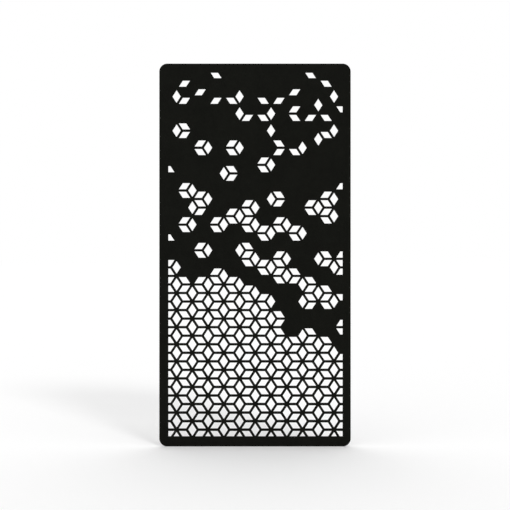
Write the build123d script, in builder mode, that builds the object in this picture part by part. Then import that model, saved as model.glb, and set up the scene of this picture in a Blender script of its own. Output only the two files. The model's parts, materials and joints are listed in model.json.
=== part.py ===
"""Hanging acoustic screen: one board of black pressed felt, cut through with tumbling blocks.

Two steel hangers are let into the top edge and clamped from the back. Each ends in a threaded
socket, flush with the edge, for the stud of a hanging cable or rod.

Millimetres. The screen stands upright in the XZ plane and its front faces -Y. The origin is
midway between the two hanger sockets, on the top edge.
"""

import os
from math import radians, sqrt, tan

from build123d import *

# Board
board_width = 1200.0
board_height = 2400.0
board_thickness = 12.0
corner_radius = 50.0

# Solid border round the cut field
border_left = 56.0
border_right = 50.0
border_top = 56.0
border_bottom = 62.0

# Lattice of the tumbling blocks: upright lozenges in columns, leaning ones in the gaps between
column_pitch = 98.8
row_pitch = 107.2
first_column = 108.0  # from the left edge to column 0
first_row = 104.0  # from the bottom edge to half row 0
web_width = 15.0  # felt left between two openings

# The dense field: its highest upright lozenge in each column, and its highest leaning lozenge
# in each gap, counted in half rows. Gap -1 is left of column 0, and gap 10 right of column 10.
field_top_upright = (17, 16, 17, 18, 17, 16, 15, 10, 11, 10, 9)
field_top_leaning = (17, 17, 17, 18, 17, 16, 15, 13, 10, 11, 10, 8)
first_gap = -1
lowest_half_row = -1

# Loose cubes above the field, as (column, half row) of the upright lozenge. A left cube has its
# two leaning lozenges on the left of the upright one, a right cube has them on its right.
left_cubes = (
    (0, 19), (1, 24), (1, 28), (2, 21), (2, 27), (2, 33), (3, 24), (4, 25), (4, 33),
    (5, 20), (5, 24), (5, 26), (6, 19), (6, 23), (6, 31), (7, 18), (7, 20), (7, 24),
    (8, 23), (9, 16), (9, 26), (10, 15), (10, 25), (10, 27),
)
right_cubes = (
    (0, 35), (1, 26), (3, 30), (4, 21), (4, 25), (6, 27),
    (7, 18), (8, 15), (8, 17), (9, 16), (9, 20), (10, 19),
)

# Single lozenges, as (column, half row) for upright ones and (gap, half row) for leaning ones
single_upright = (
    (0, 39), (4, 37), (4, 39), (6, 35), (6, 37), (8, 33), (9, 34), (9, 38), (10, 35), (10, 39),
)
single_leaning = (
    (-1, 22), (-1, 30), (0, 38), (0, 40), (1, 39), (2, 38), (2, 41), (3, 38), (4, 36),
    (5, 36), (5, 38), (6, 32), (6, 33), (6, 38), (7, 32), (7, 36), (7, 37), (7, 39),
    (8, 36), (8, 41), (9, 34), (9, 36), (9, 40), (10, 11), (10, 12), (10, 15), (10, 20),
    (10, 28), (10, 37),
)

# Hangers
hanger_inset = 150.0  # from each side edge of the board
felt_clearance = 0.3  # round the steel pieces in the felt
steel_clearance = 0.1  # between two steel pieces

# Socket: a round sleeve, threaded at the top and forked below
socket_cover = 1.2  # felt left on each side of its bore
socket_length = 26.0
fork_depth = 12.0
thread_core_diameter = 5.0  # M6
thread_depth = 12.0

# Plate: a flat tongue in a slot of the top edge, held in the socket's fork by a rivet
plate_width = 60.0
plate_height = 38.0
plate_thickness = 2.0
plate_shoulder_radius = 3.0
plate_toe_radius = 9.0
rivet_diameter = 3.0
rivet_drop = 6.0  # from the roof of the fork

# Clamp screw and its washer, from the back
clamp_screw_drop = 24.0  # from the plate's upper edge
screw_diameter = 4.0
screw_reach = 1.0  # past the plate
screw_head_diameter = 8.0
screw_head_angle = 90.0
drive_across_flats = 2.5
drive_depth = 1.3
washer_diameter = 15.0
washer_thickness = 2.6

# Worked out from the sizes above
half_row = row_pitch / 2
side_reach = (column_pitch - half_row**2 / column_pitch) / 2  # keeps a lozenge equal-sided
back_face = board_thickness / 2
slot_width = plate_width + 2 * felt_clearance
slot_thickness = plate_thickness + 2 * felt_clearance
bore_diameter = board_thickness - 2 * socket_cover
socket_diameter = bore_diameter - 2 * felt_clearance
fork_gap = plate_thickness + 2 * steel_clearance
fork_roof = socket_length - fork_depth
rivet_level = fork_roof + rivet_drop
rivet_length = 2 * sqrt((socket_diameter / 2) ** 2 - (rivet_diameter / 2) ** 2)
plate_top = fork_roof + felt_clearance
plate_bottom = plate_top + plate_height
clamp_screw_level = plate_top + clamp_screw_drop
screw_length = back_face + plate_thickness / 2 + screw_reach
screw_head_height = (screw_head_diameter - screw_diameter) / 2 / tan(radians(screw_head_angle / 2))

hanger_x = board_width / 2 - hanger_inset
hanger_places = {"left": (-hanger_x, 0), "right": (hanger_x, 0)}


def column_x(column):
    return first_column - board_width / 2 + column * column_pitch


def half_row_z(row):
    return first_row - board_height + row * half_row


def open_lozenges():
    """The upright lozenges as (column, half row), and the leaning ones as (gap, half row)."""
    upright = set(single_upright)
    leaning = set(single_leaning)
    for column, top in enumerate(field_top_upright):
        upright.update((column, row) for row in range(top, lowest_half_row - 1, -2))
    for gap, top in enumerate(field_top_leaning, start=first_gap):
        leaning.update((gap, row) for row in range(lowest_half_row, top + 1))
    for column, row in left_cubes:
        upright.add((column, row))
        leaning.update(((column - 1, row), (column - 1, row - 1)))
    for column, row in right_cubes:
        upright.add((column, row))
        leaning.update(((column, row), (column, row - 1)))
    return sorted(upright), sorted(leaning)


def lozenge(*corners):
    """One opening about its centre, drawn in by half a web on every side."""
    with BuildSketch() as opening:
        Polygon(*corners, align=None)
        offset(amount=-web_width / 2, kind=Kind.INTERSECTION)
    return opening.sketch


def upright_lozenge():
    return lozenge((0, half_row), (-side_reach, 0), (0, -half_row), (side_reach, 0))


def leaning_lozenge(lean):
    """lean is 1 for a lozenge that rises to the right, and -1 for one that falls."""
    half_width = column_pitch / 2
    short_end = half_width - side_reach
    low = -half_row / 2 * lean
    return lozenge((-half_width, low), (short_end, low), (half_width, -low), (-short_end, -low))


def pattern_sketch():
    """Every opening, trimmed to the rectangle inside the border."""
    upright, leaning = open_lozenges()
    upright_places = [(column_x(column), half_row_z(row)) for column, row in upright]
    rising_places = []
    falling_places = []
    for gap, row in leaning:
        place = (column_x(gap) + column_pitch / 2, half_row_z(row) + half_row / 2)
        if (gap + row) % 2 == 0:
            rising_places.append(place)
        else:
            falling_places.append(place)

    window_width = board_width - border_left - border_right
    window_height = board_height - border_top - border_bottom
    window_x = (border_left - border_right) / 2
    window_z = (border_bottom - border_top - board_height) / 2
    with BuildSketch() as pattern:
        with Locations(*upright_places):
            add(upright_lozenge())
        with Locations(*rising_places):
            add(leaning_lozenge(1))
        with Locations(*falling_places):
            add(leaning_lozenge(-1))
        with Locations((window_x, window_z)):
            Rectangle(window_width, window_height, mode=Mode.INTERSECT)
    return pattern.sketch


# Each piece of a hanger is drawn with the mouth of its socket at the origin.
def front_plane(level, depth):
    """A drawing plane seen from the front, at a level below the top edge and a depth behind the
    middle of the board. Extruding from it goes towards the front."""
    return Plane(origin=(0, depth, -level), x_dir=(1, 0, 0), z_dir=(0, -1, 0))


def hanger_recess():
    """What one hanger needs cut out of the felt."""
    slot_depth = plate_bottom + felt_clearance
    bore_depth = socket_length + felt_clearance
    with BuildPart() as recess:
        with BuildSketch(Plane.XY.offset(-slot_depth)):
            Rectangle(slot_width, slot_thickness)
        extrude(amount=slot_depth)
        with BuildSketch(Plane.XY.offset(-bore_depth)):
            Circle(bore_diameter / 2)
        extrude(amount=bore_depth)
        with BuildSketch(front_plane(clamp_screw_level, back_face)):
            Circle(washer_diameter / 2 + felt_clearance)
        extrude(amount=washer_thickness)
        with BuildSketch(front_plane(clamp_screw_level, back_face)):
            Circle(screw_diameter / 2 + felt_clearance)
        extrude(amount=screw_length + felt_clearance)
    return recess.part


def felt_panel():
    with BuildPart() as panel:
        with BuildSketch(front_plane(0, back_face)):
            with Locations((0, -board_height / 2)):
                RectangleRounded(board_width, board_height, corner_radius)
            add(pattern_sketch(), mode=Mode.SUBTRACT)
        extrude(amount=board_thickness)
        with Locations(*hanger_places.values()):
            add(hanger_recess(), mode=Mode.SUBTRACT)
    return panel.part


def hanger_plate():
    with BuildPart() as plate:
        with BuildSketch(front_plane(plate_top, plate_thickness / 2)) as outline:
            with Locations((0, -plate_height / 2)):
                Rectangle(plate_width, plate_height)
            fillet(outline.vertices().group_by(Axis.Y)[-1], plate_shoulder_radius)
            fillet(outline.vertices().group_by(Axis.Y)[0], plate_toe_radius)
            with Locations((0, plate_top - rivet_level)):
                Circle(rivet_diameter / 2 + steel_clearance, mode=Mode.SUBTRACT)
            with Locations((0, -clamp_screw_drop)):
                Circle(screw_diameter / 2 + steel_clearance, mode=Mode.SUBTRACT)
        extrude(amount=plate_thickness)
    return plate.part


def hanger_socket():
    with BuildPart() as socket:
        with BuildSketch(Plane.XY.offset(-socket_length)):
            Circle(socket_diameter / 2)
        extrude(amount=socket_length)
        Hole(thread_core_diameter / 2, depth=thread_depth)
        with BuildSketch(Plane.XY.offset(-socket_length)):
            Rectangle(socket_diameter, fork_gap)
        extrude(amount=fork_depth, mode=Mode.SUBTRACT)
        with BuildSketch(front_plane(rivet_level, back_face)):
            Circle(rivet_diameter / 2 + steel_clearance)
        extrude(amount=board_thickness, mode=Mode.SUBTRACT)
    return socket.part


def socket_rivet():
    with BuildPart() as rivet:
        with BuildSketch(front_plane(rivet_level, rivet_length / 2)):
            Circle(rivet_diameter / 2)
        extrude(amount=rivet_length)
    return rivet.part


def clamp_screw():
    head_plane = front_plane(clamp_screw_level, back_face)
    half_section = Plane(origin=head_plane.origin, x_dir=(1, 0, 0), z_dir=(0, 0, 1))
    with BuildPart() as screw:
        with BuildSketch(half_section):
            with BuildLine():
                Polyline(
                    (0, 0),
                    (screw_head_diameter / 2, 0),
                    (screw_diameter / 2, -screw_head_height),
                    (screw_diameter / 2, -screw_length),
                    (0, -screw_length),
                    close=True,
                )
            make_face()
        revolve(axis=Axis(head_plane.origin, head_plane.z_dir))
        with BuildSketch(head_plane):
            RegularPolygon(drive_across_flats / 2, 6, major_radius=False)
        extrude(amount=drive_depth, mode=Mode.SUBTRACT)
    return screw.part


def screw_washer():
    head_plane = front_plane(clamp_screw_level, back_face)
    with BuildPart() as washer:
        with BuildSketch(head_plane):
            Circle(washer_diameter / 2)
        extrude(amount=washer_thickness)
        with Locations(Plane(head_plane.origin, head_plane.x_dir, -head_plane.z_dir)):
            CounterSinkHole(
                radius=screw_diameter / 2 + steel_clearance,
                counter_sink_radius=screw_head_diameter / 2 + steel_clearance,
                depth=washer_thickness,
                counter_sink_angle=screw_head_angle,
            )
    return washer.part


def placed(piece, *places):
    """A copy of the piece at each place, as one node."""
    with BuildPart() as node:
        with Locations(*places):
            add(piece)
    return node.part


def save(label, node):
    node.label = label
    export_step(node, f"parts/{label}.step")


os.makedirs("parts", exist_ok=True)
save("felt_panel", felt_panel())
for side, place in hanger_places.items():
    save(f"{side}_hanger_plate", placed(hanger_plate(), place))
    save(f"{side}_hanger_socket", placed(hanger_socket(), place))
save("socket_rivets", placed(socket_rivet(), *hanger_places.values()))
save("clamp_screws", placed(clamp_screw(), *hanger_places.values()))
save("screw_washers", placed(screw_washer(), *hanger_places.values()))
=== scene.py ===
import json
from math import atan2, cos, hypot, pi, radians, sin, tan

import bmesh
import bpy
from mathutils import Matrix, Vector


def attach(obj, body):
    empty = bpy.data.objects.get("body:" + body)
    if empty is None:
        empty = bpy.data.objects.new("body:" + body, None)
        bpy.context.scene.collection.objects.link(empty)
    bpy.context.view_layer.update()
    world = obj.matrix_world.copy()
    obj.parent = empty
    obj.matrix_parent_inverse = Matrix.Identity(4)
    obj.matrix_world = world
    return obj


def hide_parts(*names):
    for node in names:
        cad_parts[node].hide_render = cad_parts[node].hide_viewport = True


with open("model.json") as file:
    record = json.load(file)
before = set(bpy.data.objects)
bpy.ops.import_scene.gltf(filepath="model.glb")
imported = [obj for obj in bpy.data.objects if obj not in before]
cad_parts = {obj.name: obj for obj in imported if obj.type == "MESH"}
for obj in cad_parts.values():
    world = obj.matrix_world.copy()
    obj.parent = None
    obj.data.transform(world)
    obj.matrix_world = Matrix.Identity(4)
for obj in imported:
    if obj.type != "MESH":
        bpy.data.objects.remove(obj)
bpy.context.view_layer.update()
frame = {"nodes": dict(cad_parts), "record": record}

# A hanging acoustic screen: one board of black pressed felt, cut through with tumbling blocks
# that thin out upwards. Two steel hangers are let into its top edge and clamped from the back.
# Metres. The screen stands in the XZ plane, its front faces -Y, and the origin is on the top
# edge, midway between the two hanger sockets.

MM = 0.001


# Sizes: the solids' own, and a few for what shows only close up

# Board
board_width = 1200 * MM
board_height = 2400 * MM
board_thickness = 12 * MM
corner_radius = 50 * MM
arris_radius = 0.7 * MM  # the knife leaves the felt's edges a little round
corner_steps = 16
arris_steps = 3

# Solid border round the cut field
border_left = 56 * MM
border_right = 50 * MM
border_top = 56 * MM
border_bottom = 62 * MM

# Lattice of the tumbling blocks
column_pitch = 98.8 * MM
row_pitch = 107.2 * MM
first_column = 108 * MM
first_row = 104 * MM
web_width = 15 * MM
half_row = row_pitch / 2
side_reach = (column_pitch - half_row**2 / column_pitch) / 2

# The dense field: its highest upright lozenge in each column, and its highest leaning lozenge in
# each gap between columns, counted in half rows
field_top_upright = (17, 16, 17, 18, 17, 16, 15, 10, 11, 10, 9)
field_top_leaning = (17, 17, 17, 18, 17, 16, 15, 13, 10, 11, 10, 8)
first_gap = -1
lowest_half_row = -1

# Loose cubes above the field, as (column, half row) of the upright lozenge. A left cube has its
# two leaning lozenges on the left of that one, and a right cube on the right
left_cubes = (
    (0, 19), (1, 24), (1, 28), (2, 21), (2, 27), (2, 33), (3, 24), (4, 25), (4, 33),
    (5, 20), (5, 24), (5, 26), (6, 19), (6, 23), (6, 31), (7, 18), (7, 20), (7, 24),
    (8, 23), (9, 16), (9, 26), (10, 15), (10, 25), (10, 27),
)
right_cubes = (
    (0, 35), (1, 26), (3, 30), (4, 21), (4, 25), (6, 27),
    (7, 18), (8, 15), (8, 17), (9, 16), (9, 20), (10, 19),
)

# Single lozenges near the top, as (column, half row) and (gap, half row)
single_upright = (
    (0, 39), (4, 37), (4, 39), (6, 35), (6, 37), (8, 33), (9, 34), (9, 38), (10, 35), (10, 39),
)
single_leaning = (
    (-1, 22), (-1, 30), (0, 38), (0, 40), (1, 39), (2, 38), (2, 41), (3, 38), (4, 36),
    (5, 36), (5, 38), (6, 32), (6, 33), (6, 38), (7, 32), (7, 36), (7, 37), (7, 39),
    (8, 36), (8, 41), (9, 34), (9, 36), (9, 40), (10, 11), (10, 12), (10, 15), (10, 20),
    (10, 28), (10, 37),
)

# Hangers, each measured from the mouth of its socket
hanger_x = board_width / 2 - 150 * MM
felt_clearance = 0.3 * MM
steel_clearance = 0.1 * MM
socket_diameter = 9 * MM
socket_length = 26 * MM
fork_depth = 12 * MM
fork_gap = 2.2 * MM
thread_diameter = 6 * MM
thread_core_diameter = 5 * MM
thread_pitch = 1 * MM
thread_depth = 12 * MM
plate_width = 60 * MM
plate_height = 38 * MM
plate_thickness = 2 * MM
rivet_diameter = 3 * MM
rivet_length = 8.48 * MM
rivet_level = socket_length - fork_depth + 6 * MM
plate_bottom = socket_length - fork_depth + felt_clearance + plate_height
clamp_screw_level = socket_length - fork_depth + felt_clearance + 24 * MM
screw_diameter = 4 * MM
screw_core_diameter = 3.2 * MM
screw_pitch = 0.7 * MM
screw_length = 8 * MM
screw_head_diameter = 8 * MM
screw_head_height = 2 * MM
drive_across_flats = 2.5 * MM
drive_depth = 1.3 * MM
washer_diameter = 15 * MM
washer_thickness = 2.6 * MM
back_face = board_thickness / 2

# Colours, as the share of red, green and blue light that each sends back
felt_shadow = (0.0011, 0.0011, 0.0009)
felt_lit = (0.0118, 0.0123, 0.0096)
felt_pit_shade = (0.0016, 0.0017, 0.0013)
# painted shade: the colour put into the needle dimples, darker than the felt round them
felt_fleck = (0.024, 0.025, 0.023)
wall_shadow = (0.0009, 0.0009, 0.0008)
wall_lit = (0.0105, 0.011, 0.009)
zinc_cool = (0.50, 0.53, 0.58)
zinc_warm = (0.60, 0.59, 0.56)
zinc_pale = (0.66, 0.67, 0.69)
zinc_worn = (0.36, 0.355, 0.35)
coat_deep = (0.0095, 0.0095, 0.0098)
coat_rubbed = (0.0165, 0.016, 0.0155)
coat_worn = (0.13, 0.128, 0.125)


# Node trees

GEOMETRY = "GeometryNodeTree"
SHADER = "ShaderNodeTree"
zero = (0.0, 0.0, 0.0)


class Tree:
    """A node tree, drawn from the script."""

    def __init__(self, tree):
        self.tree = tree

    def add(self, kind, inputs=None, **settings):
        """One node. Its inputs are values, or other nodes and their sockets."""
        node = self.tree.nodes.new(kind)
        for name, value in settings.items():
            setattr(node, name, value)
        pairs = inputs.items() if isinstance(inputs, dict) else enumerate(inputs or ())
        for name, value in pairs:
            self.feed(node.inputs[name], value)
        return node

    def feed(self, socket, value):
        if isinstance(value, bpy.types.Node):
            value = value.outputs[0]
        if isinstance(value, bpy.types.NodeSocket):
            self.tree.links.new(value, socket)
        else:
            socket.default_value = value

    def math(self, operation, *values):
        return self.add("ShaderNodeMath", values, operation=operation).outputs[0]

    def plus(self, first, second):
        return self.math("ADD", first, second)

    def minus(self, first, second):
        return self.math("SUBTRACT", first, second)

    def times(self, first, second):
        return self.math("MULTIPLY", first, second)

    def over(self, first, second):
        return self.math("DIVIDE", first, second)

    def vector(self, operation, *values):
        return self.add("ShaderNodeVectorMath", values, operation=operation).outputs[0]

    def split(self, vector):
        return self.add("ShaderNodeSeparateXYZ", [vector]).outputs

    def join(self, x, y, z):
        return self.add("ShaderNodeCombineXYZ", (x, y, z)).outputs[0]

    def span(self, value, low, high, to_low=0.0, to_high=1.0, smooth=False):
        """A value taken from one span to another, held at its ends."""
        kind = "SMOOTHSTEP" if smooth else "LINEAR"
        values = (value, low, high, to_low, to_high)
        return self.add("ShaderNodeMapRange", values, interpolation_type=kind).outputs[0]

    def noise(self, vector, scale, detail, roughness=0.5):
        """Cloudy noise about 0.5. The first output is one value, and Color is three."""
        inputs = {"Vector": vector, "Scale": scale, "Detail": detail, "Roughness": roughness}
        return self.add("ShaderNodeTexNoise", inputs).outputs

    def stirred(self, vector, scale, detail, reach):
        """Places shifted about by noise, by half of reach at most."""
        shift = self.noise(vector, scale, detail)["Color"]
        shift = self.vector("SUBTRACT", shift, (0.5, 0.5, 0.5))
        shift = self.vector("MULTIPLY", shift, self.join(reach, reach, reach))
        return self.vector("ADD", vector, shift)

    def group(self, other, **inputs):
        """Another tree as one node. Underscores stand for the spaces of its input names."""
        kind = "GeometryNodeGroup" if self.tree.bl_idname == GEOMETRY else "ShaderNodeGroup"
        node = self.add(kind, node_tree=other.tree)
        for name, value in inputs.items():
            self.feed(node.inputs[name.replace("_", " ")], value)
        return node


class Group(Tree):
    """A tree with named inputs and outputs, for use in others or on a modifier."""

    def __init__(self, name, kind, inputs, outputs):
        super().__init__(bpy.data.node_groups.new(name, kind))
        for side, sockets in (("INPUT", inputs), ("OUTPUT", outputs)):
            for label, value in sockets.items():
                self.new_socket(label, value, side)
        self.given = self.tree.nodes.new("NodeGroupInput").outputs
        self.result = self.tree.nodes.new("NodeGroupOutput").inputs

    def new_socket(self, label, value, side):
        kinds = {float: "Float", int: "Int", tuple: "Vector"}
        kind = value if isinstance(value, str) else kinds[type(value)]
        socket = self.tree.interface.new_socket(
            name=label, in_out=side, socket_type=f"NodeSocket{kind}")
        if not isinstance(value, str) and side == "INPUT":
            socket.default_value = value

    def put(self, **results):
        for name, value in results.items():
            self.feed(self.result[name.replace("_", " ")], value)


def in_scene(name, data):
    """A new object in the scene, of this mesh, lamp or camera."""
    piece = bpy.data.objects.new(name, data)
    bpy.context.scene.collection.objects.link(piece)
    return piece


def made_plain(piece, material):
    """Turns what the modifiers show into the piece's own mesh, of one material."""
    graph = bpy.context.evaluated_depsgraph_get()
    mesh = bpy.data.meshes.new_from_object(
        piece.evaluated_get(graph), preserve_all_data_layers=True, depsgraph=graph)
    piece.modifiers.clear()
    piece.data = mesh
    mesh.name = piece.name
    mesh.materials.clear()
    mesh.materials.append(material)
    mesh.polygons.foreach_set("material_index", [0] * len(mesh.polygons))
    return piece


def finish_with(piece, finishing):
    for kind, settings in finishing:
        added = piece.modifiers.new(kind, kind)
        for setting, value in settings.items():
            setattr(added, setting, value)


def grown(name, group, sizes, material, source=None, finishing=()):
    """A plain mesh object at the origin, grown by a Geometry Nodes tree from named sizes."""
    piece = in_scene(name, source or bpy.data.meshes.new(name))
    modifier = piece.modifiers.new("grow", "NODES")
    modifier.node_group = group.tree
    given = {**sizes, "Material": material}
    for item in group.tree.interface.items_tree:
        if item.in_out == "INPUT" and item.name in given:
            modifier[item.identifier] = given[item.name]
    finish_with(piece, finishing)
    return made_plain(piece, material)


def finished(group, shape):
    """The end of a piece's tree: its copies made real, and its material set."""
    plain = group.add("GeometryNodeRealizeInstances", [shape])
    return group.add("GeometryNodeSetMaterial", {
        "Geometry": plain, "Material": group.given["Material"]})


def fitted(piece, slot, *nodes):
    """Ties a finished piece to the screen and hides the solids that it stands for. Its slot is not
    used.
    """
    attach(piece, "root")
    if nodes:
        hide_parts(*nodes)
    return piece


EVEN_FACES = ("WEIGHTED_NORMAL", {"mode": "FACE_AREA", "weight": 100, "keep_sharp": False})


# The pattern of openings

def open_lozenges():
    """The upright lozenges as (column, half row), and the leaning ones as (gap, half row)."""
    upright = set(single_upright)
    leaning = set(single_leaning)
    for column, top in enumerate(field_top_upright):
        upright.update((column, row) for row in range(top, lowest_half_row - 1, -2))
    for gap, top in enumerate(field_top_leaning, start=first_gap):
        leaning.update((gap, row) for row in range(lowest_half_row, top + 1))
    for column, row in left_cubes:
        upright.add((column, row))
        leaning.update(((column - 1, row), (column - 1, row - 1)))
    for column, row in right_cubes:
        upright.add((column, row))
        leaning.update(((column, row), (column, row - 1)))
    return sorted(upright), sorted(leaning)


def lozenge_points():
    """A mesh with one point for each opening, and how long, how wide and how turned it is."""
    upright, leaning = open_lozenges()
    column_x = first_column - board_width / 2
    row_z = first_row - board_height
    short_end = column_pitch / 2 - side_reach
    upright_halves = (half_row, side_reach)
    leaning_halves = (hypot(column_pitch / 2, half_row / 2), hypot(short_end, half_row / 2))
    lean = atan2(half_row / 2, column_pitch / 2)
    places, halves, turns = [], [], []
    for column, row in upright:
        places.append((column_x + column * column_pitch, 0, row_z + row * half_row))
        halves.append(upright_halves)
        turns.append(pi / 2)
    for gap, row in leaning:
        x = column_x + (gap + 0.5) * column_pitch
        places.append((x, 0, row_z + (row + 0.5) * half_row))
        halves.append(leaning_halves)
        turns.append(lean if (gap + row) % 2 == 0 else -lean)
    points = bpy.data.meshes.new("lozenge_points")
    points.from_pydata(places, [], [])
    long_halves, short_halves = zip(*halves)
    for label, values in (
            ("long_half", long_halves), ("short_half", short_halves), ("turn", turns)):
        points.attributes.new(label, "FLOAT", "POINT").data.foreach_set("value", values)
    return points


def arris_group():
    """Takes the rings of a prism, which runs from -0.5 to 0.5 along its axis, to depths through
    the board, and says how far each ring stands off, so that both arrises come out round."""
    arris = Group(
        "Arris", GEOMETRY,
        {"Along": 0.0, "Steps": arris_steps, "Lead": 0, "Thickness": board_thickness,
         "Radius": arris_radius, "Overshoot": 0.0},
        {"Depth": 0.0, "Ease": 0.0})
    along, steps, lead, thickness, radius, overshoot = arris.given[:6]
    gaps = arris.plus(arris.times(arris.plus(steps, lead), 2.0), 1.0)
    from_end = arris.minus(0.5, arris.math("ABSOLUTE", along))
    ring = arris.math("ROUND", arris.times(from_end, gaps))
    turned = arris.over(arris.minus(ring, lead), steps)
    turn = arris.span(turned, 0.0, 1.0, 0.0, pi / 2)
    sunk = arris.times(radius, arris.minus(1.0, arris.math("COSINE", turn)))
    proud = arris.times(overshoot, arris.math("LESS_THAN", ring, lead))
    reach = arris.minus(arris.times(thickness, 0.5), sunk)
    side = arris.times(arris.math("SIGN", along), -1.0)
    ease = arris.times(radius, arris.minus(1.0, arris.math("SINE", turn)))
    arris.put(Depth=arris.times(side, arris.plus(reach, proud)), Ease=ease)
    return arris


# Turns that lay the upper end of a piece towards the back or towards the front
to_back = (-pi / 2, 0.0, 0.0)
to_front = (pi / 2, 0.0, 0.0)


def moved(tree, geometry, x=0.0, y=0.0, z=0.0, turn=zero):
    inputs = {"Geometry": geometry, "Translation": (x, y, z), "Rotation": turn}
    return tree.add("GeometryNodeTransform", inputs).outputs[0]


def block(tree, width, depth, height):
    return tree.add("GeometryNodeMeshCube", {"Size": (width, depth, height)})


def rod(tree, diameter, length, sides=48, levels=1):
    return tree.add("GeometryNodeMeshCylinder", {
        "Vertices": sides, "Side Segments": levels, "Radius": diameter / 2, "Depth": length})


def named(tree, label, kind="FLOAT"):
    return tree.add("GeometryNodeInputNamedAttribute", {"Name": label}, data_type=kind).outputs[0]


def stored(tree, geometry, label, value, kind="FLOAT"):
    inputs = {"Geometry": geometry, "Name": label, "Value": value}
    return tree.add(
        "GeometryNodeStoreNamedAttribute", inputs, data_type=kind, domain="POINT").outputs[0]


def placed(tree, geometry, position):
    inputs = {"Geometry": geometry, "Position": position}
    return tree.add("GeometryNodeSetPosition", inputs).outputs[0]


def opening_group(arris):
    """One knife-cut prism for each lozenge point, drawn in by half a web, wider at its arrises."""
    cuts = Group(
        "Lozenge cuts", GEOMETRY,
        {"Points": "Geometry", "Web": web_width, "Thickness": board_thickness,
         "Arris Radius": arris_radius, "Arris Steps": arris_steps},
        {"Prisms": "Geometry"})
    points, web, thickness, radius, steps = cuts.given[:5]
    levels = cuts.plus(cuts.times(steps, 2), 3)
    prism = rod(cuts, 2.0, 1.0, sides=4, levels=levels)
    position = cuts.add("GeometryNodeInputPosition")
    prism = stored(cuts, prism, "unit", position, "FLOAT_VECTOR")
    points = stored(cuts, points, "centre", position, "FLOAT_VECTOR")
    prisms = cuts.add("GeometryNodeInstanceOnPoints", {"Points": points, "Instance": prism})
    prisms = cuts.add("GeometryNodeRealizeInstances", [prisms])

    across, up, along = cuts.split(named(cuts, "unit", "FLOAT_VECTOR"))
    shape = cuts.group(
        arris, Along=along, Steps=steps, Lead=1, Thickness=thickness, Radius=radius,
        Overshoot=1 * MM)
    long_half = named(cuts, "long_half")
    short_half = named(cuts, "short_half")
    squares = [cuts.math("POWER", half, 2.0) for half in (long_half, short_half)]
    side = cuts.math("SQRT", cuts.plus(*squares))
    inner_radius = cuts.over(cuts.times(long_half, short_half), side)
    drawn_in = cuts.minus(cuts.times(web, 0.5), shape.outputs["Ease"])
    size = cuts.minus(1.0, cuts.over(drawn_in, inner_radius))
    half_x = cuts.times(across, cuts.times(long_half, size))
    half_z = cuts.times(up, cuts.times(short_half, size))
    flat = cuts.join(half_x, 0.0, half_z)
    turn = cuts.times(named(cuts, "turn"), -1.0)
    turned = cuts.add(
        "ShaderNodeVectorRotate", {"Vector": flat, "Angle": turn}, rotation_type="Y_AXIS")
    deep = cuts.join(0.0, shape.outputs["Depth"], 0.0)
    there = cuts.vector("ADD", turned, deep)
    there = cuts.vector("ADD", there, named(cuts, "centre", "FLOAT_VECTOR"))
    cuts.put(Prisms=placed(cuts, prisms, there))
    return cuts


def window_group(arris):
    """The rectangle that the openings are trimmed to, as one block with round arrises."""
    window = Group(
        "Cut window", GEOMETRY,
        {"Width": 1.0, "Height": 1.0, "Centre X": 0.0, "Centre Z": 0.0,
         "Thickness": board_thickness, "Arris Radius": arris_radius, "Arris Steps": arris_steps},
        {"Block": "Geometry"})
    width, height, centre_x, centre_z, thickness, radius, steps = window.given[:7]
    levels = window.plus(window.times(steps, 2), 4)
    block = window.add("GeometryNodeMeshCube", {"Size": (1.0, 1.0, 1.0), "Vertices Z": levels})
    across, up, along = window.split(window.add("GeometryNodeInputPosition"))
    shape = window.group(
        arris, Along=along, Steps=steps, Lead=1, Thickness=thickness, Radius=radius,
        Overshoot=2 * MM)
    wider = window.times(shape.outputs["Ease"], 2.0)
    x = window.math("MULTIPLY_ADD", across, window.plus(width, wider), centre_x)
    z = window.math("MULTIPLY_ADD", up, window.plus(height, wider), centre_z)
    there = window.join(x, shape.outputs["Depth"], z)
    window.put(Block=placed(window, block, there))
    return window


def blank_group(arris):
    """The uncut board: a rounded rectangle with round arrises, hanging from the origin."""
    blank = Group(
        "Board blank", GEOMETRY,
        {"Width": board_width, "Height": board_height, "Thickness": board_thickness,
         "Corner Radius": corner_radius, "Corner Steps": corner_steps,
         "Arris Radius": arris_radius, "Arris Steps": arris_steps},
        {"Board": "Geometry"})
    width, height, thickness, corner, round_steps, radius, steps = blank.given[:7]
    quarter = blank.plus(round_steps, 1)
    around = blank.times(quarter, 4)
    levels = blank.plus(blank.times(steps, 2), 1)
    board = rod(blank, 2.0, 1.0, sides=around, levels=levels)
    across, up, along = blank.split(blank.add("GeometryNodeInputPosition"))
    shape = blank.group(arris, Along=along, Steps=steps, Thickness=thickness, Radius=radius)
    angle = blank.over(blank.math("ARCTAN2", up, across), 2 * pi)
    place = blank.math("ROUND", blank.times(blank.math("FRACT", angle), around))
    place = blank.math("MODULO", place, around)
    corner_number = blank.math("FLOOR", blank.over(blank.plus(place, 0.5), quarter))
    step = blank.minus(place, blank.times(corner_number, quarter))
    turned = blank.plus(corner_number, blank.over(step, round_steps))
    turn = blank.times(turned, pi / 2)
    diagonal = blank.times(blank.plus(corner_number, 0.5), pi / 2)
    round_off = blank.minus(corner, shape.outputs["Ease"])

    def edge(size, wave):
        inner = blank.minus(blank.times(size, 0.5), corner)
        to_corner = blank.times(blank.math("SIGN", blank.math(wave, diagonal)), inner)
        return blank.math("MULTIPLY_ADD", blank.math(wave, turn), round_off, to_corner)

    z = blank.minus(edge(height, "SINE"), blank.times(height, 0.5))
    there = blank.join(edge(width, "COSINE"), shape.outputs["Depth"], z)
    blank.put(Board=placed(blank, board, there))
    return blank


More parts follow.
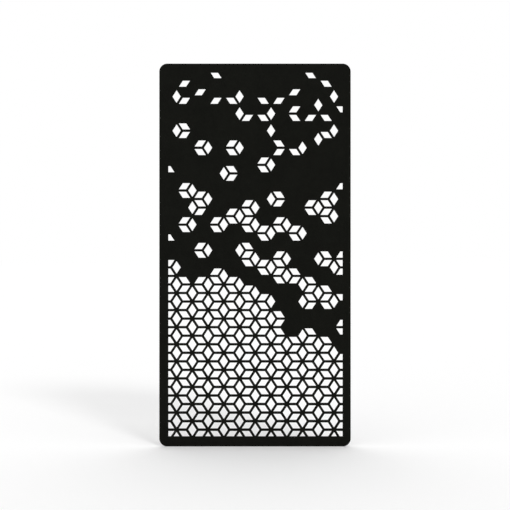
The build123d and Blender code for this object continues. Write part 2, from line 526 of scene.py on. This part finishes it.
def cut_away(tree, shape, *cutters):
    cut = tree.add("GeometryNodeMeshBoolean", {"Mesh 1": shape}, solver="MANIFOLD")
    for cutter in cutters:
        tree.feed(cut.inputs["Mesh 2"], cutter)
    return cut.outputs[0]


def together(tree, *shapes):
    joined = tree.add("GeometryNodeJoinGeometry")
    for shape in shapes:
        tree.feed(joined.inputs[0], shape)
    return joined.outputs[0]


def at_both_hangers(tree, shape):
    """The same shape at the right and at the left hanger."""
    return together(tree, *[moved(tree, shape, x=x) for x in (hanger_x, -hanger_x)])


def hanger_recesses(tree):
    """What the two hangers need cut out of the felt, each part on its own."""
    past = 2 * MM  # how far each cutter stands out of the board
    room = 2 * felt_clearance
    slot_depth = plate_bottom + felt_clearance
    bore_depth = socket_length + felt_clearance
    slot = block(tree, plate_width + room, plate_thickness + room, slot_depth + past)
    bore = rod(tree, socket_diameter + room, bore_depth + past)
    seat = rod(tree, washer_diameter + room, washer_thickness + past)
    screw_way = rod(tree, screw_diameter + room, screw_length + felt_clearance)
    level = -clamp_screw_level
    parts = (
        moved(tree, slot, z=(past - slot_depth) / 2),
        moved(tree, bore, z=(past - bore_depth) / 2),
        moved(tree, seat, y=back_face + (past - washer_thickness) / 2, z=level, turn=to_front),
        moved(tree, screw_way, y=back_face - (screw_length + felt_clearance) / 2, z=level,
              turn=to_front),
    )
    return [at_both_hangers(tree, part) for part in parts]


def board_group():
    """The felt board: blank, minus the trimmed openings, minus what the hangers need."""
    arris = arris_group()
    openings = opening_group(arris)
    window = window_group(arris)
    blank = blank_group(arris)
    board = Group(
        "Cut felt board", GEOMETRY,
        {"Points": "Geometry", "Width": board_width, "Height": board_height,
         "Thickness": board_thickness, "Corner Radius": corner_radius,
         "Arris Radius": arris_radius, "Arris Steps": arris_steps, "Web": web_width,
         "Window Width": 1.0, "Window Height": 1.0, "Window X": 0.0, "Window Z": 0.0,
         "Material": "Material"},
        {"Board": "Geometry"})
    given = board.given
    same = {"Thickness": given["Thickness"], "Arris_Radius": given["Arris Radius"],
            "Arris_Steps": given["Arris Steps"]}
    prisms = board.group(openings, Points=given["Points"], Web=given["Web"], **same)
    trim = board.group(window, Width=given["Window Width"], Height=given["Window Height"],
                       Centre_X=given["Window X"], Centre_Z=given["Window Z"], **same)
    uncut = board.group(blank, Width=given["Width"], Height=given["Height"],
                        Corner_Radius=given["Corner Radius"], **same)
    trimmed = board.add("GeometryNodeMeshBoolean", operation="INTERSECT", solver="MANIFOLD")
    for shape in (prisms, trim):
        board.feed(trimmed.inputs["Mesh 2"], shape)
    cut = cut_away(board, uncut, trimmed, *hanger_recesses(board))
    smooth = board.add("GeometryNodeSetShadeSmooth", {"Geometry": cut})
    board.put(Board=finished(board, smooth))
    return board


def felt_board(felt):
    sizes = {
        "Width": board_width, "Height": board_height, "Thickness": board_thickness,
        "Corner Radius": corner_radius, "Arris Radius": arris_radius, "Web": web_width,
        "Window Width": board_width - border_left - border_right,
        "Window Height": board_height - border_top - border_bottom,
        "Window X": (border_left - border_right) / 2,
        "Window Z": (border_bottom - border_top - board_height) / 2,
    }
    return grown("felt_board", board_group(), sizes, felt, lozenge_points(), [EVEN_FACES])


# Loose fibres of the felt

def fibre_group():
    """Stray fibres: many along the cut arrises, a few on the faces, each a thin curl."""
    fibres = Group(
        "Loose fibres", GEOMETRY,
        {"Board": "Geometry", "Thickness": board_thickness, "Arris Radius": arris_radius,
         "Per Area On Arrises": 100.0, "Per Area On Faces": 10.0, "Length": 3 * MM,
         "Fibre Width": 0.1 * MM, "Seed": 0, "Material": "Material"},
        {"Fibres": "Geometry"})
    given = fibres.given
    flat_face = 0.995  # how squarely a face has to look forwards or back to count as flat
    curl = {"Start": (0.0, 0.0, -0.05), "Middle": (0.25, 0.0, 0.55), "End": (0.9, 0.15, 0.2)}
    least_tilt, most_tilt = (-0.5, -0.7, 0.0), (0.5, 0.35, 2 * pi)
    shortest, longest = 0.45, 1.3

    depth = fibres.split(fibres.add("GeometryNodeInputPosition"))[1]
    facing = fibres.split(fibres.add("GeometryNodeInputNormal"))[1]
    half = fibres.times(given["Thickness"], 0.5)
    rim = fibres.minus(half, given["Arris Radius"])
    near_rim = fibres.math("GREATER_THAN", fibres.math("ABSOLUTE", depth), rim)
    not_flat = fibres.math("LESS_THAN", fibres.math("ABSOLUTE", facing), flat_face)
    on_arris = fibres.times(near_rim, not_flat)
    density = fibres.span(
        on_arris, 0.0, 1.0, given["Per Area On Faces"], given["Per Area On Arrises"])
    seed = given["Seed"]
    scatter = fibres.add("GeometryNodeDistributePointsOnFaces", {
        "Mesh": given["Board"], "Density": density, "Seed": seed})

    unit = fibres.add("GeometryNodeCurveQuadraticBezier", {"Resolution": 3, **curl})
    length = given["Length"]
    long = fibres.add("GeometryNodeTransform", {
        "Geometry": unit, "Scale": fibres.join(length, length, length)})
    section = fibres.add("GeometryNodeCurvePrimitiveCircle", {
        "Resolution": 3, "Radius": fibres.times(given["Fibre Width"], 0.5)})
    fibre = fibres.add("GeometryNodeCurveToMesh", {
        "Curve": long, "Profile Curve": section.outputs[0], "Fill Caps": True})

    tilt = fibres.add("FunctionNodeRandomValue", {
        "Min": least_tilt, "Max": most_tilt, "Seed": seed}, data_type="FLOAT_VECTOR").outputs[0]
    turned = fibres.add("FunctionNodeRotateRotation", {
        "Rotation": scatter.outputs["Rotation"],
        "Rotate By": fibres.add("FunctionNodeEulerToRotation", [tilt])}, rotation_space="LOCAL")
    size = fibres.add("FunctionNodeRandomValue", {
        2: shortest, 3: longest, "Seed": fibres.plus(seed, 1.0)}, data_type="FLOAT")
    spread = fibres.add("GeometryNodeInstanceOnPoints", {
        "Points": scatter.outputs["Points"], "Instance": fibre, "Rotation": turned,
        "Scale": size.outputs[1]})
    smooth = fibres.add("GeometryNodeSetShadeSmooth", {"Geometry": spread})
    fibres.put(Fibres=finished(fibres, smooth))
    return fibres


def loose_fibres(board, felt):
    sizes = {
        "Thickness": board_thickness, "Arris Radius": arris_radius,
        "Per Area On Arrises": 22000.0, "Per Area On Faces": 450.0, "Length": 2.6 * MM,
        "Fibre Width": 0.07 * MM, "Seed": 11,
    }
    return grown("loose_fibres", fibre_group(), sizes, felt, board.data.copy())


# Steel hangers

def eased(points, radius, steps=3):
    """The corners of a drawn line, rounded with a small radius. The two ends stay."""
    divisor = 2.5  # a rounding takes up no more than a line's length divided by this
    line = [points[0]]
    for before, corner, after in zip(points, points[1:], points[2:]):
        corner = Vector(corner)
        back = Vector(before) - corner
        on = Vector(after) - corner
        reach = min(radius, back.length / divisor, on.length / divisor)
        start = corner + back.normalized() * reach
        end = corner + on.normalized() * reach
        for step in range(steps + 1):
            share = step / steps
            first = start.lerp(corner, share)
            line.append(tuple(first.lerp(corner.lerp(end, share), share)))
    line.append(points[-1])
    return line


def turned(name, profile, steps=56):
    """A mesh turned about the Z axis from (radius, height) points."""
    shape = bmesh.new()
    ring = [shape.verts.new((radius, 0, height)) for radius, height in profile]
    line = [shape.edges.new(pair) for pair in zip(ring, ring[1:])]
    bmesh.ops.spin(shape, geom=ring + line, cent=(0, 0, 0), axis=(0, 0, 1), angle=2 * pi,
                   steps=steps, use_duplicate=False)
    bmesh.ops.remove_doubles(shape, verts=shape.verts, dist=1e-7)
    bmesh.ops.recalc_face_normals(shape, faces=shape.faces)
    mesh = bpy.data.meshes.new(name)
    shape.to_mesh(mesh)
    shape.free()
    return mesh


def thread(tree, radius, height, pitch, length):
    """A thread's ridge, on a helix that runs down from the origin."""
    points_a_turn = 28
    half_width = pitch * 0.45
    helix = tree.add("GeometryNodeCurveSpiral", {
        "Resolution": points_a_turn, "Rotations": length / pitch, "Start Radius": radius,
        "End Radius": radius, "Height": length})
    upright = tree.add("GeometryNodeSetCurveNormal", {"Curve": helix}, mode="Z_UP")
    ridge = tree.add("GeometryNodeCurvePrimitiveCircle", {"Resolution": 4, "Radius": 1.0})
    ridge = tree.add("GeometryNodeTransform", {
        "Geometry": ridge.outputs[0], "Scale": (height, half_width, 1.0)})
    swept = tree.add("GeometryNodeCurveToMesh", {
        "Curve": upright, "Profile Curve": ridge, "Fill Caps": True})
    return moved(tree, swept, z=-length)


def steel_piece(name, build, blank, material, slot, node):
    """A steel piece. build gets a tree and the turned blank in it, and gives the shape. Curved
    faces shade round, and sharper edges stay crisp."""
    crisp_angle = radians(38)
    group = Group(name, GEOMETRY, {"Blank": "Geometry", "Material": "Material"},
                  {"Piece": "Geometry"})
    group.put(Piece=finished(group, build(group, group.given["Blank"])))
    piece = grown(name, group, {}, material, blank)
    piece.data.shade_smooth()
    piece.data.set_sharp_from_angle(angle=crisp_angle)
    return fitted(piece, slot, node)


def from_the_back(tree, shape):
    """The shape at both clamp screws' places, its top flush with the board's back."""
    lying = moved(tree, shape, y=back_face, z=-clamp_screw_level, turn=to_back)
    return at_both_hangers(tree, lying)


def hanger_socket(side, x, zinc):
    radius, inner, core = socket_diameter / 2, thread_diameter / 2, thread_core_diameter / 2
    lead = 0.6 * MM
    chamfer = 0.45 * MM
    edge_break = 0.35 * MM
    ridge_top = 0.9 * MM
    ridge_length = thread_depth - 1.4 * MM
    drill_tip = thread_depth + core * tan(radians(30))
    profile = [(0, -drill_tip), (core, -thread_depth)]
    profile += eased([
        (inner, -thread_depth + lead), (inner, -lead), (inner + chamfer, 0),
        (radius, 0), (radius, -socket_length), (0, -socket_length)], edge_break)

    def build(tree, blank):
        fork = moved(tree, block(tree, 2 * socket_diameter, fork_gap, fork_depth + MM),
                     z=-socket_length + (fork_depth - MM) / 2)
        hole = moved(tree, rod(tree, rivet_diameter + 2 * steel_clearance, 2 * socket_diameter),
                     z=-rivet_level, turn=to_front)
        body = cut_away(tree, blank, fork, hole)
        ridge = thread(tree, inner, inner - core, thread_pitch, ridge_length)
        return moved(tree, together(tree, body, moved(tree, ridge, z=-ridge_top)), x=x)

    name = f"{side}_socket"
    return steel_piece(
        name, build, turned(name, profile), zinc, "zinc_steel", f"{side}_hanger_socket")


def hanger_plate(side, zinc):
    """A copy of the solid's plate, its edges broken a little as stamped steel's are."""
    name = f"{side}_plate"
    edge_break = 0.25 * MM
    same_point = 1e-6
    shape = bmesh.new()
    shape.from_mesh(frame["nodes"][f"{side}_hanger_plate"].data)
    bmesh.ops.remove_doubles(shape, verts=shape.verts, dist=same_point)
    bmesh.ops.dissolve_limit(
        shape, angle_limit=radians(1), verts=shape.verts, edges=shape.edges)
    mesh = bpy.data.meshes.new(name)
    shape.to_mesh(mesh)
    shape.free()
    piece = in_scene(name, mesh)
    finish_with(piece, [("BEVEL", {"width": edge_break, "segments": 2, "limit_method": "ANGLE",
                                   "angle_limit": radians(40)}), EVEN_FACES])
    return fitted(made_plain(piece, zinc), "zinc_steel", f"{side}_hanger_plate")


def rivets(zinc):
    radius, half = rivet_diameter / 2, rivet_length / 2
    crown = 0.5 * MM
    flat = radius * 0.6
    profile = eased([(0, half), (flat, half), (radius, half - crown), (radius, crown - half),
                     (flat, -half), (0, -half)], crown)

    def build(tree, blank):
        return at_both_hangers(tree, moved(tree, blank, z=-rivet_level, turn=to_back))

    return steel_piece("rivets", build, turned("rivet", profile, steps=40), zinc, "zinc_steel",
                       "socket_rivets")


def clamp_screws(black):
    head, core, outer = screw_head_diameter / 2, screw_core_diameter / 2, screw_diameter / 2
    land = 0.6 * MM
    rim = 0.2 * MM
    neck = screw_head_height + 0.5 * MM
    thread_top = screw_head_height + 0.9 * MM
    point_height = 0.6 * MM
    point = core * 0.6
    edge_break = 0.15 * MM
    profile = [(0, 0)] + eased([
        (head - land, 0), (head, 0), (head, -rim), (outer, -screw_head_height), (outer, -neck),
        (core, -thread_top), (core, -screw_length + point_height), (point, -screw_length),
        (0, -screw_length)], edge_break)
    drive_radius = drive_across_flats / 2 / cos(radians(30))
    mouth_cone = drive_radius * 1.3
    mouth_depth = drive_radius * 1.08

    def build(tree, blank):
        drive = moved(tree, rod(tree, 2 * drive_radius, 2 * drive_depth, 6), turn=(0, 0, pi / 6))
        mouth = tree.add("GeometryNodeMeshCone", {
            "Vertices": 48, "Radius Top": mouth_cone, "Radius Bottom": 0.0,
            "Depth": mouth_cone})
        body = cut_away(tree, blank, drive, moved(tree, mouth, z=-mouth_depth))
        grip = screw_length - thread_top - point_height
        ridge = thread(tree, core, outer - core, screw_pitch, grip)
        return from_the_back(tree, together(tree, body, moved(tree, ridge, z=-thread_top)))

    return steel_piece("screws", build, turned("screw", profile), black, "black_steel",
                       "clamp_screws")


def washers(black):
    outer = washer_diameter / 2
    hole = screw_diameter / 2 + steel_clearance
    mouth = screw_head_diameter / 2 + steel_clearance
    floor = -washer_thickness
    start = (hole, floor / 2 - 0.35 * MM)
    groove, groove_half, groove_depth = outer - 1.35 * MM, 0.25 * MM, 0.18 * MM
    edge_break = 0.22 * MM
    ring = [start, (hole, floor), (outer, floor), (outer, 0), (groove + groove_half, 0),
            (groove, -groove_depth), (groove - groove_half, 0), (mouth, 0),
            (hole, -(mouth - hole)), start]
    return steel_piece("washers", from_the_back, turned("washer", eased(ring, edge_break)),
                       black, "black_steel", "screw_washers")


# Finishes

def strand_layer(tree, vector, turn, per_length, per_width):
    """One layer of strands lying along the board, all of them one way."""
    turned = tree.add("ShaderNodeVectorRotate", {"Vector": vector, "Angle": turn},
                      rotation_type="Y_AXIS")
    drawn = tree.vector("MULTIPLY", turned, tree.join(per_length, per_width, per_width))
    noise = tree.noise(drawn, 1.0, detail=2.0, roughness=0.55)[0]
    return tree.span(noise, 0.5, 0.68, smooth=True)


def fibre_tangle_group():
    """Crossing strands of pressed felt, in three layers that lie along the board's faces."""
    felt = Group("Fibre tangle", SHADER,
                 {"Vector": zero, "Strand Length": 4 * MM, "Strand Width": 0.2 * MM,
                  "Tangle": 1 * MM},
                 {"Strands": 0.0, "Height": 0.0})
    vector, length, width, tangle = felt.given[:4]
    layer_turns = (0.3, 1.4, 2.5)
    per_length = felt.over(1.0, length)
    per_width = felt.over(1.0, width)
    vector = felt.stirred(vector, felt.times(per_length, 0.8), detail=2.0, reach=tangle)
    low, middle, high = (
        strand_layer(felt, vector, turn, per_length, per_width) for turn in layer_turns)
    strands = felt.math("MAXIMUM", felt.math("MAXIMUM", low, middle), high)
    height = felt.plus(felt.plus(low, middle), high)
    felt.put(Strands=strands, Height=felt.over(height, 3.0))
    return felt


def mottle_group():
    """Soft clouds of lighter and darker surface, from 0 to 1."""
    mottle = Group("Mottle", SHADER, {"Vector": zero, "Size": 50 * MM}, {"Cloud": 0.0})
    vector, size = mottle.given[:2]
    noise = mottle.noise(vector, mottle.over(1.0, size), detail=3.0, roughness=0.6)[0]
    mottle.put(Cloud=mottle.span(noise, 0.3, 0.7, smooth=True))
    return mottle


def needle_pit_group():
    """Small dimples, a little unevenly spaced, where the felting needles went in. The felt uses
    this mask to sink them in its bump and to paint shade into them.
    """
    pits = Group("Needle pits", SHADER, {"Vector": zero, "Spacing": 2 * MM}, {"Pits": 0.0})
    vector, spacing = pits.given[:2]
    cells = pits.add("ShaderNodeTexVoronoi", {
        "Vector": vector, "Scale": pits.over(1.0, spacing), "Randomness": 0.85})
    pits.put(Pits=pits.span(cells.outputs["Distance"], 0.08, 0.4, 1.0, 0.0, smooth=True))
    return pits


def cut_edge_group():
    """The knife-cut walls: a mask from the board's depth, and the pressed layers seen there."""
    cut = Group("Cut edge", SHADER,
                {"Vector": zero, "Thickness": board_thickness,
                 "Arris Radius": arris_radius, "Layer": 0.5 * MM},
                {"Wall": 0.0, "Layers": 0.0})
    vector, thickness, radius, layer = cut.given[:4]
    depth = cut.math("ABSOLUTE", cut.split(vector)[1])
    from_face = cut.minus(cut.times(thickness, 0.5), depth)
    wall = cut.span(cut.over(from_face, radius), 0.1, 1.0, smooth=True)
    per_layer = cut.over(1.0, layer)
    along = cut.times(per_layer, 0.05)
    drawn = cut.vector("MULTIPLY", vector, cut.join(along, per_layer, along))
    noise = cut.noise(drawn, 1.0, detail=3.0, roughness=0.6)[0]
    cut.put(Wall=wall, Layers=cut.span(noise, 0.35, 0.65, smooth=True))
    return cut


def fleck_group():
    """A few short paler fibres, far apart."""
    flecks = Group("Flecks", SHADER,
                   {"Vector": zero, "Spacing": 20 * MM, "Length": 3 * MM, "Share": 0.3},
                   {"Flecks": 0.0})
    vector, spacing, length, share = flecks.given[:4]
    bends_a_metre = 420.0
    vector = flecks.stirred(vector, bends_a_metre, detail=1.0, reach=length)
    cell = {"Vector": vector, "Scale": flecks.over(1.0, spacing)}
    cells = flecks.add("ShaderNodeTexVoronoi", cell).outputs
    edge = flecks.add("ShaderNodeTexVoronoi", cell, feature="DISTANCE_TO_EDGE").outputs
    chosen = flecks.math("LESS_THAN", flecks.split(cells["Color"])[0], share)
    near = flecks.span(cells["Distance"], 0.4, 0.5, 1.0, 0.0)
    thin = flecks.span(edge["Distance"], 0.012, 0.02, 1.0, 0.0)
    flecks.put(Flecks=flecks.times(flecks.times(chosen, near), thin))
    return flecks


def edge_wear_group():
    """Bare metal where a coat or plating rubs through: on the piece's edges, broken up."""
    wear = Group("Edge wear", SHADER,
                 {"Vector": zero, "Edge": 0.0, "Grain": 1 * MM, "Amount": 0.3}, {"Wear": 0.0})
    vector, edge, grain, amount = wear.given[:4]
    softness = 0.2
    noise = wear.noise(vector, wear.over(1.0, grain), detail=4.0, roughness=0.65)[0]
    rubbed = wear.times(edge, wear.times(noise, 2.0))
    limit = wear.minus(1.0, amount)
    wear.put(Wear=wear.span(rubbed, limit, wear.plus(limit, softness), smooth=True))
    return wear


def tool_mark_group():
    """Fine grooves round an axis that lies along Y, as a turning tool leaves them."""
    marks = Group("Tool marks", SHADER, {"Vector": zero, "Spacing": 0.2 * MM}, {"Grooves": 0.0})
    vector, spacing = marks.given[:2]
    across, depth, up = marks.split(vector)
    radius = marks.add("ShaderNodeVectorMath", [marks.join(across, 0.0, up)],
                       operation="LENGTH").outputs["Value"]
    steps = marks.join(marks.over(marks.plus(radius, depth), spacing), 0.0, 0.0)
    marks.put(Grooves=marks.noise(steps, 0.9, detail=3.0)[0])
    return marks


class Finish(Tree):
    """A material with its own Principled shader. Fixed values are set on the shader itself."""

    def __init__(self, name, **fixed):
        self.material = bpy.data.materials.new(name)
        self.material.use_nodes = True
        super().__init__(self.material.node_tree)
        self.shader = self.tree.nodes["Principled BSDF"]
        for label, value in fixed.items():
            self.shader.inputs[label.replace("_", " ")].default_value = value
        self.place = self.add("ShaderNodeTexCoord").outputs["Object"]

    def pattern(self, group, **inputs):
        """What a shared group puts out, laid on the piece by its own coordinates."""
        return self.group(group, **{"Vector": self.place, **inputs}).outputs

    def colours(self, mask, low, high):
        """A colour that runs from low to high with a mask."""
        mixed = self.add("ShaderNodeMix", data_type="RGBA")
        self.feed(mixed.inputs[0], mask)
        for socket, colour in ((mixed.inputs[6], low), (mixed.inputs[7], high)):
            self.feed(socket, colour if isinstance(colour, bpy.types.NodeSocket)
                      else (*colour, 1.0))
        return mixed.outputs[2]

    def raised(self, height, distance, strength):
        bump = self.add("ShaderNodeBump", {
            "Height": height, "Distance": distance, "Strength": strength})
        self.feed(self.shader.inputs["Normal"], bump)

    def dressed(self, colour, rough):
        """The material, with its colour and its roughness joined to the shader."""
        self.feed(self.shader.inputs["Base Color"], colour)
        self.feed(self.shader.inputs["Roughness"], rough)
        return self.material


def black_felt(tangle, mottle, pits, cut, flecks):
    felt = Finish("black_felt", Specular_IOR_Level=0.03, Sheen_Weight=0.02, Sheen_Roughness=0.6)
    web = felt.pattern(tangle, Strand_Length=3.2 * MM, Strand_Width=0.16 * MM, Tangle=1.6 * MM)
    tufts = felt.pattern(tangle, Strand_Length=11 * MM, Strand_Width=0.9 * MM, Tangle=6 * MM)
    cloud = felt.pattern(mottle, Size=45 * MM)[0]
    wide_cloud = felt.pattern(mottle, Size=260 * MM)[0]
    pit = felt.pattern(pits, Spacing=1.9 * MM)[0]
    fleck = felt.pattern(flecks, Spacing=7 * MM, Length=1.5 * MM, Share=0.12)[0]
    wall, layers = felt.pattern(
        cut, Thickness=board_thickness, Arris_Radius=arris_radius, Layer=0.55 * MM)[:2]

    tuft_share, web_share = 0.35, 0.65
    strand_share, cloud_share, base = 0.8, 0.1, 0.1
    layer_share, wall_strand_share = 0.7, 0.3
    lit = felt.math("MULTIPLY_ADD", tufts["Strands"], tuft_share,
                    felt.times(web["Strands"], web_share))
    shade = felt.math("MULTIPLY_ADD", felt.plus(cloud, wide_cloud), cloud_share, base)
    tone = felt.plus(felt.times(lit, strand_share), shade)
    face = felt.colours(tone, felt_shadow, felt_lit)
    # painted shade in the needle dimples, on top of their bump
    face = felt.colours(pit, face, felt_pit_shade)
    face = felt.colours(fleck, face, felt_fleck)
    wall_tone = felt.math("MULTIPLY_ADD", layers, layer_share,
                          felt.times(web["Strands"], wall_strand_share))
    colour = felt.colours(wall, face, felt.colours(wall_tone, wall_shadow, wall_lit))
    rough = felt.span(lit, 0.0, 1.0, 0.98, 0.84)

    tuft_relief, pit_relief, layer_relief = 0.6, 0.35, 1.4
    pressed = felt.math("MULTIPLY_ADD", tufts["Height"], tuft_relief, web["Height"])
    pressed = felt.minus(pressed, felt.times(pit, pit_relief))
    layered = felt.times(felt.times(layers, wall), layer_relief)
    felt.raised(felt.plus(pressed, layered), distance=0.16 * MM, strength=0.8)
    return felt.dressed(colour, rough)


def about_hanger(finish, level):
    """Object coordinates from the axis of the nearer hanger, at a level below the top edge."""
    x, y, z = finish.split(finish.place)
    across = finish.minus(finish.math("ABSOLUTE", x), hanger_x)
    return finish.join(across, y, finish.plus(z, level))


def edge_value(finish):
    return finish.add("ShaderNodeAttribute", attribute_name="edge").outputs["Fac"]


def bright_zinc(mottle, wear, marks):
    zinc = Finish("bright_zinc", Metallic=1.0)
    cloud = zinc.pattern(mottle, Size=4 * MM)[0]
    tint = zinc.pattern(mottle, Size=17 * MM)[0]
    grain = zinc.pattern(marks, Vector=about_hanger(zinc, rivet_level), Spacing=0.22 * MM)[0]
    worn = zinc.pattern(wear, Edge=edge_value(zinc), Grain=0.8 * MM, Amount=0.45)[0]
    pale_share, grain_roughness, cloud_relief = 0.35, 0.16, 0.4
    colour = zinc.colours(tint, zinc_cool, zinc_warm)
    colour = zinc.colours(zinc.times(cloud, pale_share), colour, zinc_pale)
    colour = zinc.colours(worn, colour, zinc_worn)
    rough = zinc.math(
        "MULTIPLY_ADD", grain, grain_roughness, zinc.span(cloud, 0.0, 1.0, 0.2, 0.32))
    relief = zinc.math("MULTIPLY_ADD", cloud, cloud_relief, grain)
    zinc.raised(relief, distance=0.012 * MM, strength=0.7)
    return zinc.dressed(colour, rough)


def black_coat(mottle, wear, marks):
    coat = Finish("black_coat", Specular_IOR_Level=0.45)
    peel = coat.pattern(mottle, Size=0.35 * MM)[0]
    rubbed = coat.pattern(mottle, Size=5 * MM)[0]
    about_screw = about_hanger(coat, clamp_screw_level)
    grain = coat.pattern(marks, Vector=about_screw, Spacing=0.16 * MM)[0]
    worn = coat.pattern(wear, Edge=edge_value(coat), Grain=0.5 * MM, Amount=0.12)[0]
    bare_metal, peel_roughness, grain_relief = 0.9, 0.12, 0.5
    colour = coat.colours(rubbed, coat_deep, coat_rubbed)
    colour = coat.colours(worn, colour, coat_worn)
    coat.feed(coat.shader.inputs["Metallic"], coat.times(worn, bare_metal))
    rough = coat.math(
        "MULTIPLY_ADD", peel, peel_roughness, coat.span(rubbed, 0.0, 1.0, 0.36, 0.5))
    relief = coat.math("MULTIPLY_ADD", grain, grain_relief, peel)
    coat.raised(relief, distance=0.01 * MM, strength=0.6)
    return coat.dressed(colour, rough)


def mark_edges(piece):
    """Stores how sharp the piece is at each point, from 0 on a flat to 1 at a sharp edge."""
    sharp = pi / 4
    shape = bmesh.new()
    shape.from_mesh(piece.data)
    sharpness = [
        max(min(edge.calc_face_angle(0.0) / sharp, 1.0) for edge in vert.link_edges)
        for vert in shape.verts
    ]
    shape.free()
    piece.data.attributes.new("edge", "FLOAT", "POINT").data.foreach_set("value", sharpness)


# The studio

def shown_rays(tree):
    """1 for the rays that show a thing itself: to the camera, in a reflection or through glass."""
    rays = tree.add("ShaderNodeLightPath").outputs
    bent = tree.math("MAXIMUM", rays["Is Glossy Ray"], rays["Is Transmission Ray"])
    return tree.math("MAXIMUM", rays["Is Camera Ray"], bent)


def studio_world(level):
    """An even white dome at a plain level. Rays that show it see it white."""
    world = bpy.data.worlds.new("white_studio")
    bpy.context.scene.world = world
    world.use_nodes = True
    studio = Tree(world.node_tree)
    studio.tree.nodes.clear()
    white = (1.0, 1.0, 1.0, 1.0)
    lit = studio.add("ShaderNodeBackground", {"Color": white, "Strength": level})
    shown = studio.add("ShaderNodeBackground", {"Color": white, "Strength": 1.0})
    dome = studio.add("ShaderNodeMixShader", (shown_rays(studio), lit, shown))
    studio.add("ShaderNodeOutputWorld", [dome])


def studio_floor(colour, lift):
    """A white floor that keeps the shadow. Rays that show it get a small lift towards white."""
    floor = Finish("white_floor", Roughness=1.0, Specular_IOR_Level=0.0)
    floor.shader.inputs["Base Color"].default_value = (colour, colour, colour, 1.0)
    strength = floor.times(shown_rays(floor), lift)
    glow = floor.add("ShaderNodeEmission", {"Strength": strength})
    both = floor.add("ShaderNodeAddShader", (floor.shader, glow))
    floor.feed(floor.tree.nodes["Material Output"].inputs[0], both)

    aside, front, behind, low = 60, 14, 120, -board_height
    corners = [(-aside, -front, low), (aside, -front, low), (aside, behind, low),
               (-aside, behind, low)]
    mesh = bpy.data.meshes.new("floor")
    mesh.from_pydata(corners, [], [(0, 1, 2, 3)])
    mesh.materials.append(floor.material)
    piece = in_scene("floor", mesh)


def soft_light(name, level, azimuth, elevation, spread):
    """A wide soft lamp far off. level is what it adds on a white floor, azimuth 0 is the front,
    and 90 the right. The angles are in degrees."""
    turn, lift = radians(azimuth), radians(elevation)
    lamp = bpy.data.lights.new(name, "SUN")
    lamp.energy = level * pi / sin(lift)
    lamp.angle = radians(spread)
    towards = Vector((sin(turn) * cos(lift), -cos(turn) * cos(lift), sin(lift)))
    in_scene(name, lamp).rotation_euler = towards.to_track_quat("Z", "Y").to_euler()


def studio_camera(distance, focal_length, film_width):
    """Level with the middle of the screen and square on to its front. The lens and the film are
    in millimetres."""
    lens = bpy.data.cameras.new("camera")
    lens.sensor_width = film_width
    lens.lens = focal_length
    camera = in_scene("camera", lens)
    camera.location = (0, -distance - board_thickness / 2, -board_height / 2)
    camera.rotation_euler = (pi / 2, 0, 0)
    bpy.context.scene.camera = camera


# Putting it together

tangle, mottle, pits = fibre_tangle_group(), mottle_group(), needle_pit_group()
cut, flecks = cut_edge_group(), fleck_group()
wear, marks = edge_wear_group(), tool_mark_group()
felt = black_felt(tangle, mottle, pits, cut, flecks)
zinc = bright_zinc(mottle, wear, marks)
coat = black_coat(mottle, wear, marks)

board = fitted(felt_board(felt), "felt", "felt_panel")
fitted(loose_fibres(board, felt), "felt")
steel = [rivets(zinc), clamp_screws(coat), washers(coat)]
for side, x in (("left", -hanger_x), ("right", hanger_x)):
    steel += [hanger_socket(side, x, zinc), hanger_plate(side, zinc)]
for piece in steel:
    mark_edges(piece)
hidden_finishes = {"felt": felt, "zinc_steel": zinc, "black_steel": coat}
for subpart in frame["record"]["subparts"]:
    solid = frame["nodes"][subpart["node"]]
    solid.data.materials.clear()
    solid.data.materials.append(hidden_finishes[subpart["material_slot"]])

studio_world(level=0.72)
studio_floor(colour=0.93, lift=0.055)
soft_light("key", level=0.15, azimuth=29, elevation=37, spread=14)
soft_light("high_back", level=0.15, azimuth=180, elevation=62, spread=50)
studio_camera(distance=6.0, focal_length=67.56, film_width=36)
bpy.context.scene.view_settings.view_transform = "Standard"
